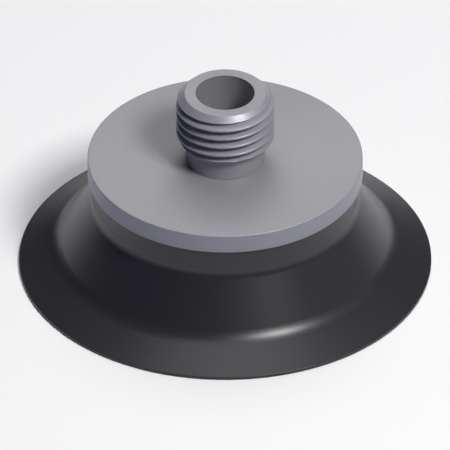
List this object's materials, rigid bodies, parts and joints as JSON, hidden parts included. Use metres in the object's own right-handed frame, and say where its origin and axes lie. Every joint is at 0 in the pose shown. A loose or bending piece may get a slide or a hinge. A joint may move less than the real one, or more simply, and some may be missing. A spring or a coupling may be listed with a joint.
{
  "type": "flat vacuum pad",
  "caption": "Round suction pad for a gripper: a flared rubber cup bonded under a flat metal plate, with a hollow threaded nipple on top for the vacuum line.",
  "frame": {"origin": "centre of the sealing plane, where the lip of the cup meets the workpiece", "axes": "+Z along the pad's axis, from the cup's mouth towards the nipple; X and Y lie in the sealing plane"},
  "size_m": [0.055, 0.055, 0.0275],
  "materials": {
    "anodised_aluminium": "turned, clear anodised, satin",
    "nitrile_rubber": "moulded, smooth satin"
  },
  "bodies": {
    "root": {"threaded_carrier": "anodised_aluminium", "suction_cup": "nitrile_rubber"}
  },
  "joints": []
}
